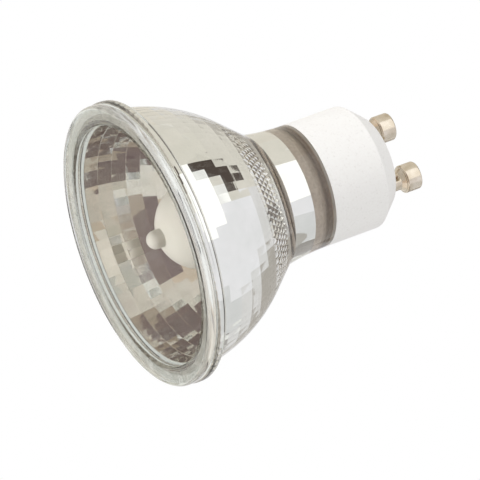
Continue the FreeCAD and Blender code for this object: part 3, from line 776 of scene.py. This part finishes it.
def pyramids(bm, base, apexes, edge_row):
    """Small pyramids: each base side is bent out at its middle, unless it lies on an end row."""
    count = len(base)
    for number in range(count):
        first, last = base[number], base[(number + 1) % count]
        sides = [[first, last]]
        if not edge_row:
            middle = (first.co + last.co) / 2
            outward = Vector((middle.x, middle.y, 0.0)).normalized()
            bent = bm.verts.new(middle + outward * PYRAMID_DEPTH * MM)
            sides = [[first, bent], [bent, last]]
        for side in sides:
            face = bm.faces.new(side + [apexes[number]])
            face.material_index = MIRROR
            face.smooth = False


wide, high = flat_place(ROWS)
near = ring(bm, wide, high, FLATS)
capped(bm, before, near)
pyramid_end_radius = NECK_BORE + THROAT_STEP
pyramid_length = (wide - pyramid_end_radius) / slope
for row in range(PYRAMID_ROWS):
    share = (row + 1) / PYRAMID_ROWS
    far_turn = 0.5 * ((row + 1) % 2)
    far = ring(bm, wide + (pyramid_end_radius - wide) * share,
               high + pyramid_length * share, FLATS, far_turn)
    shift = row % 2
    up = [far[(number + shift) % FLATS] for number in range(FLATS)]
    down = [near[(number + 1 - shift) % FLATS] for number in range(FLATS)]
    pyramids(bm, near, up, row == 0)
    pyramids(bm, far, down, row + 1 == PYRAMID_ROWS)
    near = far
throat_start = high + pyramid_length
throat_radius = pyramid_end_radius - LEDGE
throat = ring(bm, throat_radius, throat_start)
capped(bm, throat, near)
bore = ring(bm, NECK_BORE, throat_start + (throat_radius - NECK_BORE) / slope)
band(bm, throat, bore, MIRROR)
band(bm, bore, rings[-1], MIRROR)
piece_from(bm, "bowl", [bowl_finish, mirror_finish, cement], "reflector")

# %% [markdown]
# ## The cover glass
#
# A flat pressed disc closes the bowl. Its edge is fire-polished to a full round, which is what
# catches the bright and dark lines along the rim. Clear glass lets the lamps' light through to the
# capsule behind it, so the disc casts no shadow.

# %% Cover
COVER_RADIUS = 25.2
COVER_THICK = 1.9
COVER_ROUND = 0.7
outline = [(0.0, 0.0), (COVER_RADIUS - COVER_ROUND, 0.0)]
outline += arc(outline[-1], (COVER_RADIUS, COVER_ROUND), COVER_ROUND)
outline += [(COVER_RADIUS, COVER_THICK - COVER_ROUND)]
outline += arc(outline[-1], (COVER_RADIUS - COVER_ROUND, COVER_THICK), COVER_ROUND)
outline += [(0.0, COVER_THICK)]
bm = bmesh.new()
rings = [ring(bm, radius, height) for radius, height in braced(outline)]
for lower, upper in zip(rings, rings[1:]):
    band(bm, lower, upper)
cover = piece_from(bm, "cover_disc", [cover_finish], "cover_glass")
cover.visible_shadow = False

# %% [markdown]
# ## The capsule's skin
#
# The light source is a small bulb of quartz. Its skin is etched with acid, so it looks like milk
# glass: a soft white with no wire showing. A mostly matte body with a little rough transmission
# and a very fine bump gives that.

# %% Etched quartz
ETCH_MM = 0.15
ETCH_DEPTH_MM = 0.01
CLOUD_MM = 5.0
QUARTZ_IOR = 1.46
quartz = finish_named("etched_quartz")
place = add(quartz, "ShaderNodeTexCoord").outputs["Object"]
etch = add(quartz, "ShaderNodeTexNoise", {
    "Vector": place, "Scale": 1 / (ETCH_MM * MM), "Detail": 3.0})
bump = add(quartz, "ShaderNodeBump", {
    "Height": etch.outputs["Fac"], "Distance": ETCH_DEPTH_MM * MM})
cloud = add(quartz, "ShaderNodeTexNoise", {
    "Vector": place, "Scale": 1 / (CLOUD_MM * MM), "Detail": 2.0})
tone = add(quartz, "ShaderNodeValToRGB", {"Fac": cloud.outputs["Fac"]},
           stops=[(0.3, "#efede6"), (0.7, "#f5f3ed")])
body = add(quartz, "ShaderNodeBsdfPrincipled", {
    "Base Color": tone.outputs["Color"], "Roughness": 0.45, "IOR": QUARTZ_IOR,
    "Transmission Weight": 0.1, "Normal": bump.outputs["Normal"]})
add(quartz, "ShaderNodeOutputMaterial", {"Surface": body.outputs["BSDF"]})
print("etch grain:", ETCH_MM, "mm")

# %% [markdown]
# ## The capsule's shape
#
# The capsule is drawn from quartz tube. It is tipped with the stub of the tube it was filled
# through, and its foot is squeezed flat while hot, which seals it. The bulb is turned, and the
# last rings go over to a flat shape with round corners.

# %% Sizes of the capsule
BULB_RADIUS = 7.8
BULB_CENTRE = 14.3
BULB_END = 23.0
BULB_FOOT = 25.6
BULB_FOOT_RADIUS = 4.2
TIP_RADIUS = 1.65
TIP_END = 3.95
PINCH_WIDTH = 11.2
PINCH_THICK = 3.4
PINCH_START = 27.2
PINCH_END = 36.1
PINCH_EDGE = 0.3
PINCH_SQUARE = 0.4
CAPSULE_STEPS = 120
CAPSULE_RUNS = 24
tip_root = BULB_CENTRE - math.sqrt(BULB_RADIUS ** 2 - TIP_RADIUS ** 2)
print("tip stands", round(tip_root - TIP_END, 2), "mm out of the bulb")

# %% [markdown]
# A power below one pushes a circle's points out towards the corners of a box, which gives the
# squeezed foot its rounded oblong section.

# %% Capsule


def pinch_ring(bm, height, inset=0.0):
    """A rounded oblong ring of the squeezed foot."""
    verts = []
    for number in range(CAPSULE_STEPS):
        angle = 2 * math.pi * number / CAPSULE_STEPS
        x, y = math.cos(angle), math.sin(angle)
        x = math.copysign(abs(x) ** PINCH_SQUARE, x) * (PINCH_WIDTH / 2 - inset)
        y = math.copysign(abs(y) ** PINCH_SQUARE, y) * (PINCH_THICK / 2 - inset)
        verts.append(bm.verts.new((x * MM, y * MM, height * MM)))
    return verts


outline = [(0.0, TIP_END)]
outline += arc(outline[-1], (TIP_RADIUS, TIP_END + TIP_RADIUS), TIP_RADIUS)
outline += [(TIP_RADIUS, tip_root)]
outline += arc(outline[-1], (BULB_RADIUS, BULB_CENTRE), BULB_RADIUS, runs=CAPSULE_RUNS)
outline += [(BULB_RADIUS, BULB_END), (BULB_FOOT_RADIUS, BULB_FOOT)]
bm = bmesh.new()
rings = [ring(bm, radius, height, CAPSULE_STEPS) for radius, height in braced(outline)]
rings.append(pinch_ring(bm, PINCH_START))
rings.append(pinch_ring(bm, PINCH_END - PINCH_EDGE))
rings.append(pinch_ring(bm, PINCH_END, PINCH_EDGE))
rings.append(ring(bm, 0.0, PINCH_END, CAPSULE_STEPS))
for lower, upper in zip(rings, rings[1:]):
    band(bm, lower, upper)
piece_from(bm, "capsule_bulb", [quartz], "capsule_envelope")

# %% [markdown]
# ## Ceramic base
#
# The base is steatite, a white ceramic that is pressed as a dry powder, fired and left without a
# glaze. The eye reads it by its soft, chalky sheen, tiny dark specks and faint pits.

# %% Steatite
SPECK_MM = 0.4
PIT_DEPTH_MM = 0.02
steatite = finish_named("fired_steatite")
place = add(steatite, "ShaderNodeTexCoord").outputs["Object"]
speck = add(steatite, "ShaderNodeTexNoise", {
    "Vector": place, "Scale": 1 / (SPECK_MM * MM), "Detail": 4.0})
tone = add(steatite, "ShaderNodeValToRGB", {"Fac": speck.outputs["Fac"]},
           stops=[(0.25, "#e2e0dc"), (0.4, "#eeece9"), (0.8, "#f1f0ed")])
bump = add(steatite, "ShaderNodeBump", {
    "Height": speck.outputs["Fac"], "Distance": PIT_DEPTH_MM * MM, "Strength": 0.5})
body = add(steatite, "ShaderNodeBsdfPrincipled", {
    "Base Color": tone.outputs["Color"], "Roughness": 0.42, "IOR": 1.5,
    "Normal": bump.outputs["Normal"]})
add(steatite, "ShaderNodeOutputMaterial", {"Surface": body.outputs["BSDF"]})
print("specks:", SPECK_MM, "mm")

# %% [markdown]
# ## Contact pins
#
# The pins are turned brass with a thin nickel plate, which gives a warm grey metal with fine
# turning lines round it. The cutter leaves a thread of about 0.15 mm a turn on a real pin. It is
# twice that here, so that it shows at this size. A wave node has 3.18 bands in a unit length.

# %% Nickel plated brass
WAVE_BANDS = 3.18
TURNING_MM = 0.3
TURNING_DEPTH_MM = 0.006
PLATE_MM = 1.5
nickel = finish_named("nickel_plated_brass")
place = add(nickel, "ShaderNodeTexCoord").outputs["Object"]
plate = add(nickel, "ShaderNodeTexNoise", {
    "Vector": place, "Scale": 1 / (PLATE_MM * MM), "Detail": 3.0})
tone = add(nickel, "ShaderNodeValToRGB", {"Fac": plate.outputs["Fac"]},
           stops=[(0.3, "#c6b9a4"), (0.7, "#e0d6c6")])
lines = add(nickel, "ShaderNodeTexWave", {
    "Vector": place, "Scale": 1 / (WAVE_BANDS * TURNING_MM * MM), "Distortion": 0.6},
    bands_direction="Z")
bump = add(nickel, "ShaderNodeBump", {
    "Height": lines.outputs["Fac"], "Distance": TURNING_DEPTH_MM * MM, "Strength": 0.6})
body = add(nickel, "ShaderNodeBsdfPrincipled", {
    "Base Color": tone.outputs["Color"], "Metallic": 1.0, "Roughness": 0.2,
    "Normal": bump.outputs["Normal"]})
add(nickel, "ShaderNodeOutputMaterial", {"Surface": body.outputs["BSDF"]})
print("turning lines:", TURNING_MM, "mm apart")

# %% [markdown]
# ## Wires
#
# The filament and its supports are drawn tungsten, and the leads, foils and fuse are much the same
# dull grey metal. Drawing through a die leaves fine lines, which break the tone up a little.

# %% Drawn tungsten
DRAW_MM = 0.2
tungsten = finish_named("drawn_tungsten")
place = add(tungsten, "ShaderNodeTexCoord").outputs["Object"]
draw_lines = add(tungsten, "ShaderNodeTexNoise", {"Vector": place, "Scale": 1 / (DRAW_MM * MM)})
tone = add(tungsten, "ShaderNodeValToRGB", {"Fac": draw_lines.outputs["Fac"]},
           stops=[(0.3, "#6e6d6c"), (0.7, "#8b8a88")])
body = add(tungsten, "ShaderNodeBsdfPrincipled", {
    "Base Color": tone.outputs["Color"], "Metallic": 1.0, "Roughness": 0.35})
add(tungsten, "ShaderNodeOutputMaterial", {"Surface": body.outputs["BSDF"]})
print("drawing lines:", DRAW_MM, "mm")

# %% [markdown]
# ## Seal and bead
#
# A line of clear silicone seals the cover. It wets both glasses, so light goes straight through it
# with only a little milk. A bead of clear fused quartz holds the filament's supports.

# %% Silicone and fused quartz
MILK_MM = 0.7
SEED_MM = 0.5
silicone = finish_named("clear_silicone_bead")
place = add(silicone, "ShaderNodeTexCoord").outputs["Object"]
milk = add(silicone, "ShaderNodeTexNoise", {"Vector": place, "Scale": 1 / (MILK_MM * MM)})
tone = add(silicone, "ShaderNodeValToRGB", {"Fac": milk.outputs["Fac"]},
           stops=[(0.3, "#dfe2da"), (0.7, "#f4f5f0")])
body = add(silicone, "ShaderNodeBsdfPrincipled", {
    "Base Color": tone.outputs["Color"], "Roughness": 0.3, "IOR": 1.42, "Alpha": 0.2})
add(silicone, "ShaderNodeOutputMaterial", {"Surface": body.outputs["BSDF"]})

fused = finish_named("clear_fused_quartz")
place = add(fused, "ShaderNodeTexCoord").outputs["Object"]
seed = add(fused, "ShaderNodeTexNoise", {"Vector": place, "Scale": 1 / (SEED_MM * MM)})
tone = add(fused, "ShaderNodeValToRGB", {"Fac": seed.outputs["Fac"]},
           stops=[(0.3, "#f2f3f2"), (0.7, "#fbfbfb")])
body = add(fused, "ShaderNodeBsdfPrincipled", {
    "Base Color": tone.outputs["Color"], "Roughness": 0.03, "IOR": QUARTZ_IOR,
    "Transmission Weight": 1.0})
add(fused, "ShaderNodeOutputMaterial", {"Surface": body.outputs["BSDF"]})
print("milk:", MILK_MM, "mm, seeds:", SEED_MM, "mm")

# %% [markdown]
# ## Dressing the solids
#
# The pieces that keep their solids get their finishes by name, and every other one is metal wire.

# %% Finishes of the solids
finishes = {
    "ceramic_base": steatite,
    "pin_right": nickel,
    "pin_left": nickel,
    "capsule_cement": cement,
    "neck_cement": cement,
    "cover_seal": silicone,
    "bridge_bead": fused,
}
for name, node in nodes.items():
    node.data.materials.clear()
    node.data.materials.append(finishes.get(name, tungsten))
print("finishes:", len(bpy.data.materials))

# %% [markdown]
# ## Last look
#
# The dressed model has to fill the same box as the solids. The scene is brought up to date at the
# end.

# %% The end
bpy.context.view_layer.update()
